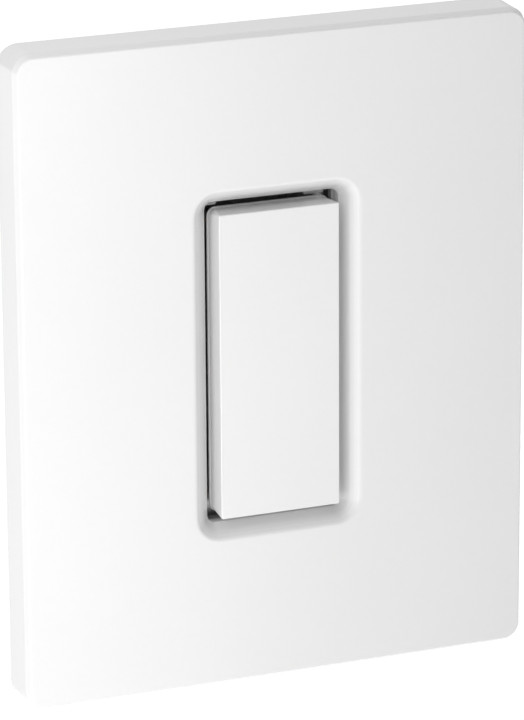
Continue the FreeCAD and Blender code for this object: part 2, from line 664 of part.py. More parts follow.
def make_rocker_carrier():
    """The lever inside the cap: a plate, a hub on the hinge pin, two webs, a spine and two posts."""
    body = new_body("rocker_carrier_plate")
    outline = wall_sketch(body, CARRIER_BACK)
    centred(outline, f"{ROCKER_INSIDE_WIDE} - 2 * fit_gap", f"{ROCKER_INSIDE_TALL} - 2 * fit_gap",
            "rocker_back_corner")
    pad(body, outline, "carrier_thick")
    pivot = {"up": "0", "height": "pivot_height"}
    pieces = [body, rod("hub", "across", pivot, ("-hub_half", "hub_half"), "hub_radius")]
    for side in (1, -1):
        across = sided(side, "hub_half - web_thick", "hub_half")
        pieces.append(block(f"web_{'right' if side > 0 else 'left'}", across, ("-web_half", "web_half"),
                            ("pivot_height + 1", f"{CARRIER_BACK} + 1")))
    pieces.append(block("spine", ("-spine_half", "spine_half"), ("-arm", "arm"),
                        (f"{CARRIER_BACK} - spine_deep", f"{CARRIER_BACK} + 1")))
    for end, sign in ENDS.items():
        pieces.append(post(f"{end}_post", "0", f"{sign} * arm", ("post_end", f"{CARRIER_BACK} + 1"),
                           "post_radius"))
    bore = rod("hub_bore", "across", pivot, ("-hub_half - 1", "hub_half + 1"), "pin_radius + pin_clear")
    return cut("rocker_carrier", joined("rocker_carrier_blank", pieces), [bore])


# ---- plungers, bridges and springs -------------------------------------------------------------

FLANGE_BACK = "flange_top - flange_thick"
BRIDGE_BACK = f"{FLANGE_BACK} - bridge_thick"


def make_plunger(end, sign):
    up = f"{sign} * arm"
    nose_centre = "post_end - nose_gap - stem_radius"
    nose = doc.addObject("Part::Sphere", f"{end}_nose")
    nose.setExpression("Radius", bound("stem_radius"))
    nose.setExpression("Placement.Base.y", bound(f"-({nose_centre})"))
    nose.setExpression("Placement.Base.z", bound(up))
    stem = post(f"{end}_stem", "0", up, (FLANGE_BACK, nose_centre), "stem_radius")
    flange = post(f"{end}_flange", "0", up, (FLANGE_BACK, "flange_top"), "flange_radius")
    tail = post(f"{end}_tail", "0", up, (f"{FLANGE_BACK} - tail_long", FLANGE_BACK), "tail_radius")
    return joined(f"{end}_plunger", [nose, stem, flange, tail])


def make_bridge(end, sign):
    up = f"{sign} * arm"
    bar = block(f"{end}_bar", ("-bridge_half", "bridge_half"),
                (f"{up} - bridge_width", f"{up} + bridge_width"), (BRIDGE_BACK, FLANGE_BACK))
    hole = post(f"{end}_bar_hole", "0", up, (f"{BRIDGE_BACK} - 1", f"{FLANGE_BACK} + 1"), "tail_radius")
    return cut(f"{end}_bridge", bar, [hole])


def make_bridge_contacts(end, sign):
    contacts = [post(f"{end}_moving_contact_{'right' if side > 0 else 'left'}", f"{side} * contact_across",
                     f"{sign} * arm", (f"{BRIDGE_BACK} - contact_thick", BRIDGE_BACK), "moving_contact")
                for side in (1, -1)]
    return group(f"{end}_bridge_contacts", contacts)


def make_spring(end, sign):
    """A coil of round wire between the spring seat and the bridge, from the sheet's sizes."""
    size = {name: sizes.get(name) for name in ("arm", "seat_top", "flange_top", "flange_thick",
                                               "bridge_thick", "spring_radius", "spring_wire",
                                               "spring_turns")}
    top = size["flange_top"] - size["flange_thick"] - size["bridge_thick"]
    rise = top - size["seat_top"] - 2 * size["spring_wire"]
    path = Part.makeHelix(rise / size["spring_turns"], rise, size["spring_radius"])
    start = FreeCAD.Vector(size["spring_radius"], 0, 0)
    ring = Part.Wire(Part.makeCircle(size["spring_wire"], start, FreeCAD.Vector(0, 1, 0)))
    coil = Part.Wire(path).makePipeShell([ring], True, True)
    made = doc.addObject("Part::Feature", f"{end}_spring")
    made.Shape = coil
    made.Label = f"{end}_spring"
    made.Placement = FreeCAD.Placement(
        FreeCAD.Vector(0, -(size["seat_top"] + size["spring_wire"]), sign * size["arm"]),
        FreeCAD.Rotation(FreeCAD.Vector(1, 0, 0), 90))
    return made


def check_and_export(pieces):
    """Stop on any failed object or bad shape, then write one file for each piece."""
    doc.recompute()
    for item in doc.Objects:
        bad = {"Invalid", "Error"} & set(item.State)
        assert not bad, f"{item.Name} is {bad}"
    os.makedirs("parts", exist_ok=True)
    for piece in pieces:
        shape = piece.Shape
        assert not shape.isNull() and shape.isValid(), f"{piece.Label} has no valid shape"
        assert shape.Volume > 0, f"{piece.Label} is inside out"
    for piece in pieces:
        piece.Shape.exportStep(f"parts/{piece.Label}.step")
        print(f"{piece.Label}: {len(piece.Shape.Solids)} solids, {piece.Shape.Volume:.1f} mm3")


doc = FreeCAD.newDocument("wall_switch")
make_sheet(doc)
sizes = doc.getObject("sizes")
all_pieces = [
    make_cover_plate(), make_sub_plate(), make_inner_frame(), make_sub_plate_screws(),
    make_mounting_strap(), make_ground_screw(), make_box_screws(), make_screw_retainers(),
    make_stop_bumpers(), make_switch_cover(), make_switch_base(), make_body_rivets(), make_hinge_pin(),
    *make_terminals(), make_terminal_screws(), make_clamp_plates(), make_fixed_contacts(),
    make_rocker_cap(), make_rocker_carrier(),
]
for which_end, end_sign in ENDS.items():
    all_pieces += [maker(which_end, end_sign) for maker in
                   (make_plunger, make_bridge, make_bridge_contacts, make_spring)]
check_and_export(all_pieces)
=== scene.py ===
"""Looks for the rocker wall switch: glossy white shells in front, and finished hardware behind them."""
import json
import math

import bmesh
import bpy
from mathutils import Matrix, Vector


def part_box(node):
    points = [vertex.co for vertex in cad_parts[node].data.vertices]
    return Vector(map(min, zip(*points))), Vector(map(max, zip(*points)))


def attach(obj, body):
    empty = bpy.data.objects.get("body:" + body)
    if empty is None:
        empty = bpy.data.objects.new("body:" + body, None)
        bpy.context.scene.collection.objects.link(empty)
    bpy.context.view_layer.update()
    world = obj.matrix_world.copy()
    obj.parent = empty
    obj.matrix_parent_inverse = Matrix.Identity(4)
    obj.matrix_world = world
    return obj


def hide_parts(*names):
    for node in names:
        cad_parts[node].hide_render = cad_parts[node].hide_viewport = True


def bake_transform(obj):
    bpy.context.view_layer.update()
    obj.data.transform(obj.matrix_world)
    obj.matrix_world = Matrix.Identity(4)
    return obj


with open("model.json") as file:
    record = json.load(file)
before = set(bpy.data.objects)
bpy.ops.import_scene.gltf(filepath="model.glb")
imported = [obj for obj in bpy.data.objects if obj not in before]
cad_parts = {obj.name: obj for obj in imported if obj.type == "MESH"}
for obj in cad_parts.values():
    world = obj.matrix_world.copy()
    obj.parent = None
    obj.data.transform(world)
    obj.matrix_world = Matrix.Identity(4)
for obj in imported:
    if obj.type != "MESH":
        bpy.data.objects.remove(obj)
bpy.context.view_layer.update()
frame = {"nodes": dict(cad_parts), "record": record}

MM = 0.001

# ---- sizes, in millimetres; "height" is a distance in front of the wall plane ----------------
plate_low, plate_high = (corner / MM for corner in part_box("cover_plate"))
rocker_low, rocker_high = (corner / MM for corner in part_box("rocker_cap"))
FLARE = 0.35
PLATE_WIDE = plate_high.x - plate_low.x - 2 * FLARE
PLATE_TALL = plate_high.z - plate_low.z - 2 * FLARE
PLATE_DEEP = -plate_low.y
PLATE_CORNER = 4.3
WALL, SKIN = 2.2, 2.2
BAND_INSET, BAND_DEEP = 0.75, 1.6
DISH_WIDE, DISH_TALL, DISH_CORNER, DISH_DEEP = 38.2, 77.6, 5.75, 3.5
DISH_CROWN = 0.35
OPENING_WIDE, OPENING_TALL, OPENING_CORNER = 30.6, 71.4, 1.75
DISH_RAMP = (DISH_WIDE - OPENING_WIDE) / 2
COLLAR_THICK, COLLAR_BORDER = 2.0, 1.6
# The radii of each profile's inner corners in turn, and how far each flat face runs on past its last corner.
PLATE_RADII, FACE_RUN = (0.25, 0.4, 0.5), 3.0
DISH_RADII, DISH_RUN = (1.6, 4.0, 0.25, 0.2, 0.3), 5.0
HOLLOW_RADII, SKIN_RUN = (0.6,), 4.0
RIM_PROUD, RIM_THICK = 0.25, 0.6
ROCKER_WIDE = rocker_high.x - rocker_low.x - 2 * RIM_PROUD
ROCKER_TALL = rocker_high.z - rocker_low.z - 2 * RIM_PROUD
ROCKER_FRONT, ROCKER_BACK = -rocker_low.y, -rocker_high.y
ROCKER_WALL, ROCKER_FACE = 1.5, 2.0
ROCKER_FRONT_CORNER, ROCKER_BACK_CORNER = 0.35, 1.8
ROCKER_RADII, ROCKER_RUN = (0.3, 0.15, 0.12, 0.12, 0.1, 0.22), 4.0
SMALLEST_PLATE_CORNER, SMALLEST_ROCKER_CORNER = 0.4, 0.12

# Steps in a plan corner and in a profile's arc, the distance of a support point from its arc, and the
# distance at which doubled points are welded.
CORNER_STEPS = 14
ARC_STEPS = 6
SUPPORT = 0.04
WELD = 0.002
FLAT_ANGLE, HARD_ANGLE, SHARP_ANGLE = (math.radians(angle) for angle in (1, 40, 38))
EDGE_SEGMENTS, NORMAL_WEIGHT = 2, 80


# ---- mesh helpers ------------------------------------------------------------------------------

def add_object(name, bm, body=None):
    """Turn a bmesh, in millimetres, into a smooth piece that rides on BODY if that is given."""
    mesh = bpy.data.meshes.new(name)
    bmesh.ops.scale(bm, vec=(MM, MM, MM), verts=bm.verts)
    bm.to_mesh(mesh)
    bm.free()
    for polygon in mesh.polygons:
        polygon.use_smooth = True
    piece = bpy.data.objects.new(name, mesh)
    bpy.context.scene.collection.objects.link(piece)
    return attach(piece, body) if body else piece


def bake(piece):
    """Put what a piece's modifiers make into its mesh."""
    graph = bpy.context.evaluated_depsgraph_get()
    baked = bpy.data.meshes.new_from_object(piece.evaluated_get(graph))
    piece.modifiers.clear()
    piece.data = baked


def bmesh_of(node):
    """A CAD node's shape, in millimetres, with its triangles joined into flat faces."""
    bm = bmesh.new()
    bm.from_mesh(frame["nodes"][node].data)
    bmesh.ops.scale(bm, vec=(1 / MM, 1 / MM, 1 / MM), verts=bm.verts)
    bmesh.ops.remove_doubles(bm, verts=bm.verts, dist=WELD)
    bmesh.ops.dissolve_limit(bm, angle_limit=FLAT_ANGLE, verts=bm.verts, edges=bm.edges)
    return bm


def softened(node, width, body):
    """A copy of a CAD node whose hard edges are rounded over, WIDTH millimetres wide."""
    piece = add_object(f"{node}_finished", bmesh_of(node), body)
    bevel = piece.modifiers.new("edges", "BEVEL")
    bevel.width, bevel.segments = width * MM, EDGE_SEGMENTS
    bevel.limit_method, bevel.angle_limit = "ANGLE", HARD_ANGLE
    normals = piece.modifiers.new("normals", "WEIGHTED_NORMAL")
    normals.weight = NORMAL_WEIGHT
    bake(piece)
    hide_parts(node)
    return piece


def rounded_outline(wide, tall, corner):
    """A rounded rectangle, anticlockwise as the room sees it, as (x, z) points."""
    points = []
    for quarter, (side, end) in enumerate(((1, 1), (-1, 1), (-1, -1), (1, -1))):
        centre_x, centre_z = side * (wide / 2 - corner), end * (tall / 2 - corner)
        for step in range(CORNER_STEPS + 1):
            angle = math.pi / 2 * (quarter + step / CORNER_STEPS)
            points.append((centre_x + corner * math.cos(angle), centre_z + corner * math.sin(angle)))
    return points


def soft_path(points, radii):
    """An open profile with each inner corner rounded to its radius, and a support point beside each arc."""
    path = [Vector(points[0])]
    for before, corner, after, radius in zip(points, points[1:], points[2:], radii):
        here = Vector(corner)
        back, ahead = (Vector(before) - here).normalized(), (Vector(after) - here).normalized()
        half = back.angle(ahead) / 2
        reach = radius / math.tan(half)
        centre = here + (back + ahead).normalized() * (radius / math.sin(half))
        start, end = here + back * reach, here + ahead * reach
        path.append(start + back * SUPPORT)
        sweep = math.pi - 2 * half
        turn = math.copysign(sweep, (start - centre).cross(end - centre))
        for step in range(ARC_STEPS + 1):
            angle = turn * step / ARC_STEPS
            path.append(centre + Matrix.Rotation(angle, 2) @ (start - centre))
        path.append(end + ahead * SUPPORT)
    path.append(Vector(points[-1]))
    return path


def join_loops(bm, loops, around=False):
    """Join loops of vertices one to the next, and then the last to the first if AROUND, or cap both ends."""
    following = loops[1:] + loops[:1] if around else loops[1:]
    for lower, upper in zip(loops, following):
        for index in range(len(lower)):
            after = (index + 1) % len(lower)
            bm.faces.new((lower[index], lower[after], upper[after], upper[index]))
    if not around:
        bm.faces.new(reversed(loops[0]))
        bm.faces.new(loops[-1])


def outlined(name, rings, body, around):
    """A skin through rounded outlines, each (wide, tall, corner, height); AROUND is as in join_loops."""
    bm = bmesh.new()
    loops = []
    for wide, tall, corner, height in rings:
        loops.append([bm.verts.new((x, -height, z)) for x, z in rounded_outline(wide, tall, corner)])
    join_loops(bm, loops, around)
    return add_object(name, bm, body)


# ---- cover plate -------------------------------------------------------------------------------

def plate_ring(offset, height):
    """An outline OFFSET outside the plate's front outline."""
    corner = max(PLATE_CORNER + offset, SMALLEST_PLATE_CORNER)
    return (PLATE_WIDE + 2 * offset, PLATE_TALL + 2 * offset, corner, height)


def dish_ring(reach, height):
    """An outline REACH outside the opening, measured across; it is the dish's mouth at DISH_RAMP."""
    share = reach / DISH_RAMP
    corner = OPENING_CORNER + (DISH_CORNER - OPENING_CORNER) * share
    return (OPENING_WIDE + 2 * reach, OPENING_TALL + (DISH_TALL - OPENING_TALL) * share, corner, height)


def make_cover_shell():
    """The moulded tray as one skin: its outside, the dish and the opening, and the hollow behind."""
    collar_front = PLATE_DEEP - DISH_DEEP
    collar_back = collar_front - COLLAR_THICK
    skin_back = PLATE_DEEP - SKIN
    slope = Vector((DISH_RAMP, DISH_DEEP))
    bulge = DISH_CROWN * Vector((-slope.y, slope.x)).normalized()
    crown = Vector((0, collar_front)) + slope / 2 + bulge
    collar_edge = DISH_RAMP + COLLAR_BORDER
    outside = soft_path(
        [(-WALL, 0), (FLARE, 0), (0, PLATE_DEEP - BAND_DEEP), (-BAND_INSET, PLATE_DEEP),
         (-BAND_INSET - FACE_RUN, PLATE_DEEP)],
        PLATE_RADII)
    dish = soft_path(
        [(DISH_RAMP + DISH_RUN, PLATE_DEEP), (DISH_RAMP, PLATE_DEEP), crown, (0, collar_front),
         (0, collar_back), (collar_edge, collar_back), (collar_edge, skin_back)],
        DISH_RADII)
    hollow = soft_path([(-WALL - SKIN_RUN, skin_back), (-WALL, skin_back), (-WALL, 0)], HOLLOW_RADII)
    rings = [plate_ring(*point) for point in outside]
    rings += [dish_ring(*point) for point in dish]
    rings += [plate_ring(*point) for point in hollow[:-1]]
    piece = outlined("cover_shell", rings, "housing", around=True)
    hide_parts("cover_plate")
    return piece


BEAD_LONG, BEAD_PROUD, BEAD_LOW, BEAD_HIGH = 14.0, 0.8, 0.2, 1.1
BEAD_UP, BEAD_ACROSS = 42.0, 30.0
# A bead's sections: how far along it each lies, as a share of its length, and the scale of each.
BEAD_TAPER = ((-0.5, 0.25), (-0.485, 0.6), (-0.46, 0.9), (-0.42, 1.0),
              (0.42, 1.0), (0.46, 0.9), (0.485, 0.6), (0.5, 0.25))
BEAD_STEPS = 10


def add_bead(bm, out, along, edge, offset):
    """A half-round bar with tapered ends on the hollow's wall, EDGE from the middle towards OUT."""
    root = WALL / 4
    centre, radius = (BEAD_LOW + BEAD_HIGH) / 2, (BEAD_HIGH - BEAD_LOW) / 2
    loops = []
    for share, scale in BEAD_TAPER:
        middle = out * (edge + root) + along * (offset + share * BEAD_LONG)
        loop = []
        for step in range(BEAD_STEPS + 1):
            angle = math.pi * step / BEAD_STEPS
            height = centre - radius * scale * math.cos(angle)
            reach = (BEAD_PROUD + root) * scale * math.sin(angle)
            loop.append(bm.verts.new(middle - out * reach + Vector((0, -height, 0))))
        loops.append(loop)
    join_loops(bm, loops)


def make_snap_beads():
    """The eight beads inside the cover that snap behind the sub-plate's tabs."""
    bm = bmesh.new()
    across, up = Vector((1, 0, 0)), Vector((0, 0, 1))
    for sign in (1, -1):
        for offset in (1, -1):
            add_bead(bm, sign * across, up, PLATE_WIDE / 2 - WALL, offset * BEAD_UP)
            add_bead(bm, sign * up, across, PLATE_TALL / 2 - WALL, offset * BEAD_ACROSS)
    bmesh.ops.recalc_face_normals(bm, faces=bm.faces)
    return add_object("snap_beads", bm, "housing")


# ---- rocker ------------------------------------------------------------------------------------

def rocker_ring(offset, height):
    """An outline OFFSET outside the rocker's skirt, whose corners are rounder towards the back."""
    share = (height - ROCKER_BACK) / (ROCKER_FRONT - ROCKER_BACK)
    corner = ROCKER_BACK_CORNER + (ROCKER_FRONT_CORNER - ROCKER_BACK_CORNER) * share + offset
    return (ROCKER_WIDE + 2 * offset, ROCKER_TALL + 2 * offset, max(corner, SMALLEST_ROCKER_CORNER), height)


def make_rocker_shell():
    """The rocker: a flat front with crisp edges, a skirt, a thin rim at the skirt's back, and a hollow."""
    underside = ROCKER_FRONT - ROCKER_FACE
    outside = soft_path(
        [(-ROCKER_WALL - ROCKER_RUN, underside), (-ROCKER_WALL, underside), (-ROCKER_WALL, ROCKER_BACK),
         (RIM_PROUD, ROCKER_BACK), (RIM_PROUD, ROCKER_BACK + RIM_THICK), (0, ROCKER_BACK + RIM_THICK),
         (0, ROCKER_FRONT), (-ROCKER_RUN, ROCKER_FRONT)],
        ROCKER_RADII)
    piece = outlined("rocker_shell", [rocker_ring(*point) for point in outside], "rocker", around=False)
    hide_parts("rocker_cap")
    return piece


# ---- turned hardware ---------------------------------------------------------------------------

TURN_STEPS = 40
THREAD_PITCH, THREAD_DEEP, ROWS_A_TURN = 0.8, 0.42, 8
TIP_CHAMFER = 0.15
DOME_SWEEP = math.radians(84)
SLOT_WIDE, SLOT_LONG, SLOT_DEEP = 0.9, 12.0, 0.8
CROSS_LONG, CROSS_DEEP = 3.4, 1.05


def turned(bm, rows, place):
    """Add a closed turned shape of (along, radius, thread depth) rows to BM, moved by PLACE."""
    loops = []
    for along, radius, depth in rows:
        loop = []
        for step in range(TURN_STEPS):
            share = step / TURN_STEPS
            valley = 1 - abs(2 * ((along / THREAD_PITCH - share) % 1) - 1)
            reach, angle = radius - depth * valley, 2 * math.pi * share
            point = Vector((reach * math.cos(angle), reach * math.sin(angle), along))
            loop.append(bm.verts.new(place @ point))
        loops.append(loop)
    join_loops(bm, loops)


def plain(*points):
    """Rows without a thread, from (along, radius) points."""
    return [(along, radius, 0.0) for along, radius in points]


def domed(radius, low, high, steps=7):
    """Rows of a low dome whose rim is at LOW and whose top is at HIGH."""
    angles = [DOME_SWEEP * step / steps for step in range(steps + 1)]
    return plain(*((low + (high - low) * math.sin(angle), radius * math.cos(angle)) for angle in angles))


def threaded(radius, tip, end):
    """Rows of a thread from its chamfered TIP up to its run-out at END."""
    count = round((end - tip) / THREAD_PITCH * ROWS_A_TURN)
    rows = plain((tip, radius - THREAD_DEEP - TIP_CHAMFER))
    for step in range(1, count):
        along = tip + (end - tip) * step / count
        fade = min(1.0, (end - along) / THREAD_PITCH)
        chamfer = min(1.0, (along - tip) / THREAD_PITCH)
        rows.append((along, radius - THREAD_DEEP * (1 - chamfer), THREAD_DEEP * fade * chamfer))
    return rows


def as_object(name, bm):
    """A bmesh, in millimetres, as a plain object in the scene."""
    item = bpy.data.objects.new(name, bpy.data.meshes.new(name))
    bm.to_mesh(item.data)
    bm.free()
    bpy.context.scene.collection.objects.link(item)
    return item


def screw_mesh(thread, neck, dome, cross):
    """One screw along +Z with its seat at 0, and a driver slot, or a slot with a cross, in its head."""
    bm = bmesh.new()
    turned(bm, threaded(*thread) + plain(*neck) + domed(*dome), Matrix())
    blank = as_object("screw_blank", bm)
    bars = [(SLOT_WIDE, SLOT_LONG, SLOT_DEEP)]
    if cross:
        bars += [(CROSS_LONG, SLOT_WIDE, CROSS_DEEP), (SLOT_WIDE, CROSS_LONG, CROSS_DEEP)]
    top = Matrix.Translation((0, 0, dome[-1]))
    bm = bmesh.new()
    for wide, tall, deep in bars:
        bmesh.ops.create_cube(bm, size=1, matrix=top @ Matrix.Diagonal((wide, tall, 2 * deep, 1)))
    cutter = as_object("driver_cutter", bm)
    recess = blank.modifiers.new("recess", "BOOLEAN")
    recess.operation, recess.object, recess.use_self = "DIFFERENCE", cutter, True
    bake(blank)
    mesh = blank.data
    bpy.data.objects.remove(blank)
    bpy.data.objects.remove(cutter)
    return mesh


def hardware(node, bm):
    """The piece of the housing, with crisp edges, that stands for NODE."""
    piece = add_object(f"{node}_finished", bm, "housing")
    piece.data.set_sharp_from_angle(angle=SHARP_ANGLE)
    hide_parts(node)
    return piece


def screw_set(node, mesh, places):
    """Copies of one screw at PLACES, as one piece that stands for NODE."""
    bm = bmesh.new()
    for place in places:
        copy = mesh.copy()
        copy.transform(place)
        bm.from_mesh(copy)
        bpy.data.meshes.remove(copy)
    return hardware(node, bm)


def turned_set(node, rows, places):
    """Turned pieces of the same ROWS at PLACES, as one piece that stands for NODE."""
    bm = bmesh.new()
    for place in places:
        turned(bm, rows, place)
    return hardware(node, bm)


def facing(direction, place, turn=0.0):
    """A placing that points a turned shape's +Z along DIRECTION, turned by TURN degrees about its axis."""
    pointed = Vector(direction).to_track_quat("Z", "Y").to_matrix().to_4x4()
    return Matrix.Translation(place) @ pointed @ Matrix.Rotation(math.radians(turn), 4, "Z")


FRONT = (0, -1, 0)
BOX_PITCH, BOX_SEAT, BOX_TURNS = 83.3, 1.2, (70, -30)
SUB_PITCH, SUB_SEAT, SUB_TURNS = 96.8, 1.9, (35, 85)
# The side, height and turn of each terminal screw.
TERMINALS = ((-1, 0, 24), (1, 22, -38), (1, -22, 67))
TERMINAL_SEAT, TERMINAL_BACK = 19.2, 16.0
GROUND_PLACE, GROUND_TURN = (-8, 5, -36.4), 31
# Each screw: its thread's radius, tip and end; its neck and head as (along, radius) points; and its dome's
# radius, rim and top; and whether it has a cross.
BOX_SCREW = ((1.75, -21.2, -2.7), ((-2.65, 1.6), (0, 1.6), (0, 3.2), (0.15, 3.4), (0.6, 3.4)),
             (3.4, 0.62, 1.6), True)
SUB_SCREW = ((1.7, -1.8, -0.1), ((0, 1.7), (0, 2.85), (0.12, 3.0), (0.5, 3.0)), (3.0, 0.52, 1.1), False)
CLAMP_SCREW = ((1.9, -5.7, -0.3), ((-0.25, 1.9), (0, 1.9), (0, 3.6), (0.15, 3.8), (1.1, 3.8)),
               (3.8, 1.12, 2.2), True)
GROUND_SCREW = ((1.7, -2.8, -0.1), ((0, 1.7), (0, 3.3), (0.1, 3.4), (0.45, 3.4), (0.55, 3.25)),
                (3.2, 0.6, 2.2), True)


def upright_pair(pitch, seat, turns):
    """Places for two screws that face the room, PITCH apart on a vertical line, the upper one first."""
    return [facing(FRONT, (0, -seat, end * pitch / 2), turn) for end, turn in zip((1, -1), turns)]


def make_screws():
    """The four kinds of screw, each as one piece."""
    clamp_places = [facing((side, 0, 0), (side * TERMINAL_SEAT, TERMINAL_BACK, up), turn)
                    for side, up, turn in TERMINALS]
    screws = {
        "box_screws": (BOX_SCREW, upright_pair(BOX_PITCH, BOX_SEAT, BOX_TURNS)),
        "sub_plate_screws": (SUB_SCREW, upright_pair(SUB_PITCH, SUB_SEAT, SUB_TURNS)),
        "terminal_screws": (CLAMP_SCREW, clamp_places),
        "ground_screw": (GROUND_SCREW, [facing((0, 0, -1), GROUND_PLACE, GROUND_TURN)]),
    }
    return {node: screw_set(node, screw_mesh(*screw), where) for node, (screw, where) in screws.items()}


# ARM is how far the plungers, their springs and the contacts lie above and below the pin. The points of the
# turned pieces are (along, radius), and a dome is its radius, rim and top.
ARM = 24.0
CONTACT_ACROSS = 6.5
FIXED_CONTACT_BACK = 9.7
RIVET_ACROSS, RIVET_UP, RIVET_SEAT = 14.0, 30.2, 27.0
PIN_HEIGHT = 2.6
RIVET_SHANK = ((-28.2, 0.6), (-28.2, 0.9), (-28.0, 1.2), (0, 1.2), (0, 2.1), (0.1, 2.2), (0.3, 2.2))
RIVET_DOME = (2.2, 0.32, 1.0)
PIN_POINTS = ((-11.4, 0.95), (-11.15, 1.2), (11.15, 1.2), (11.4, 0.95))
CONTACT_SIDE, CONTACT_DOME, CONTACT_STEPS = ((0, 1.75), (0.45, 1.75)), (1.75, 0.47, 0.8), 4


def make_turned_pieces():
    """Rivets with domed heads, a chamfered hinge pin, and contacts with slightly domed faces."""
    corners = [(side, end) for side in (1, -1) for end in (1, -1)]
    rivet = plain(*RIVET_SHANK) + domed(*RIVET_DOME)
    rivet_places = [facing((0, 1, 0), (side * RIVET_ACROSS, RIVET_SEAT, end * RIVET_UP))
                    for side, end in corners]
    pin_place = facing((1, 0, 0), (0, -PIN_HEIGHT, 0))
    contact = plain(*CONTACT_SIDE) + domed(*CONTACT_DOME, steps=CONTACT_STEPS)
    contact_places = [facing(FRONT, (side * CONTACT_ACROSS, FIXED_CONTACT_BACK, end * ARM))
                      for side, end in corners]
    return {
        "body_rivets": turned_set("body_rivets", rivet, rivet_places),
        "hinge_pin": turned_set("hinge_pin", plain(*PIN_POINTS), [pin_place]),
        "fixed_contacts": turned_set("fixed_contacts", contact, contact_places),
    }


# ---- return springs ----------------------------------------------------------------------------

COIL_RADIUS, WIRE_RADIUS, COIL_TURNS = 2.45, 0.3, 8
COIL_BACK, COIL_FRONT = -17.0, -6.3
# How far a closed turn rises, in wire radii.
COIL_CLOSED = 2.1
COIL_STEPS, WIRE_STEPS = 36, 10


def coil_rise(turn):
    """How far up the coil a TURN lies, from 0 to 1; its first and last turns are closed."""
    closed = COIL_CLOSED * WIRE_RADIUS / (COIL_FRONT - COIL_BACK - 2 * WIRE_RADIUS)
    if turn < 1:
        return closed * turn
    if turn > COIL_TURNS - 1:
        return 1 - closed * (COIL_TURNS - turn)
    return closed + (1 - 2 * closed) * (turn - 1) / (COIL_TURNS - 2)


def make_spring(end, sign):
    """A round-wire coil between the body's seat and the END plunger, which lies ARM towards SIGN."""
    bm = bmesh.new()
    loops = []
    for step in range(COIL_TURNS * COIL_STEPS + 1):
        turn = step / COIL_STEPS
        out = Vector((math.cos(2 * math.pi * turn), 0, math.sin(2 * math.pi * turn)))
        height = COIL_BACK + WIRE_RADIUS + (COIL_FRONT - COIL_BACK - 2 * WIRE_RADIUS) * coil_rise(turn)
        middle = Vector((0, -height, sign * ARM)) + out * COIL_RADIUS
        loop = []
        for side in range(WIRE_STEPS):
            angle = 2 * math.pi * side / WIRE_STEPS
            around = math.cos(angle) * out + math.sin(angle) * Vector((0, 1, 0))
            loop.append(bm.verts.new(middle + WIRE_RADIUS * around))
        loops.append(loop)
    join_loops(bm, loops)
    piece = add_object(f"{end}_spring_coil", bm)
    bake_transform(piece)
    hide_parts(f"{end}_spring")
    return piece


# ---- materials ---------------------------------------------------------------------------------

COAT_ROUGHNESS, PLASTIC_IOR = 0.05, 1.49
# How much the grain varies the gloss; where on the noise the two tones lie; and how much the fine grain and
# the crystals add to that noise.
GLOSS_SPREAD = 0.15
TONE_STOPS = (0.35, 0.65)
GRAIN_SHARE, CELL_SHARE = 0.35, 0.4


def node_of(tree, kind, **inputs):
    """A new shader node with its sockets set by name, a space in a name being written as _."""
    node = tree.nodes.new(kind)
    for name, value in inputs.items():
        node.inputs[name.replace("_", " ")].default_value = value
    return node


def maths(tree, operation, *inputs):
    """The output of a maths node whose inputs are numbers or other nodes' outputs."""
    node = tree.nodes.new("ShaderNodeMath")
    node.operation = operation
    for socket, value in zip(node.inputs, inputs):
        if isinstance(value, bpy.types.NodeSocket):
            tree.links.new(value, socket)
        else:
            socket.default_value = value
    return node.outputs["Value"]


